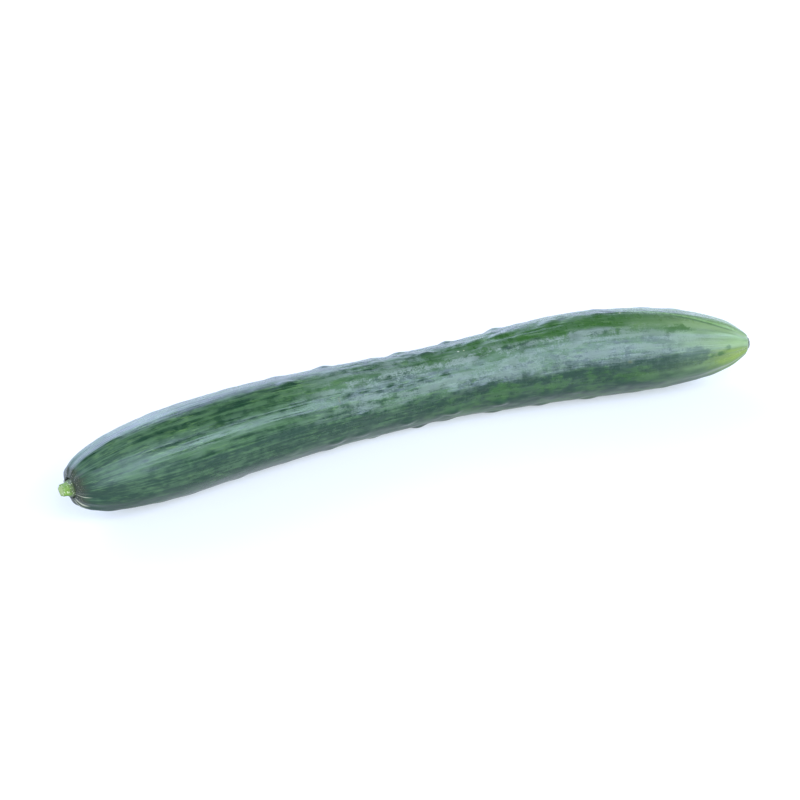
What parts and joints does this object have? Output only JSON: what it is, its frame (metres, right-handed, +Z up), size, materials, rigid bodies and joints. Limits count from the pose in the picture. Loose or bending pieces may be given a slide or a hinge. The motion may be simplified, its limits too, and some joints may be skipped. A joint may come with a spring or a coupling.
{
  "type": "long salad cucumber",
  "caption": "Whole long green cucumber lying on its side, gently bowed, with shallow ribs, low warts, a blunt blossom end and the stub of its cut stalk.",
  "frame": {"origin": "under the middle of the part, on the surface that it lies on", "axes": "+Z up, +X along the chord of the fruit from the stalk end to the blossom end, and the middle of the fruit bows towards +Y"},
  "size_m": [0.3868, 0.0634, 0.0465],
  "materials": {
    "skin": "waxy dark green skin with fine paler streaks along it, paling to yellow-green at the blossom end",
    "stalk": "soft ribbed light green stalk with a pale freshly cut face"
  },
  "bodies": {
    "root": {"fruit": "skin", "stalk": "stalk"}
  },
  "joints": []
}
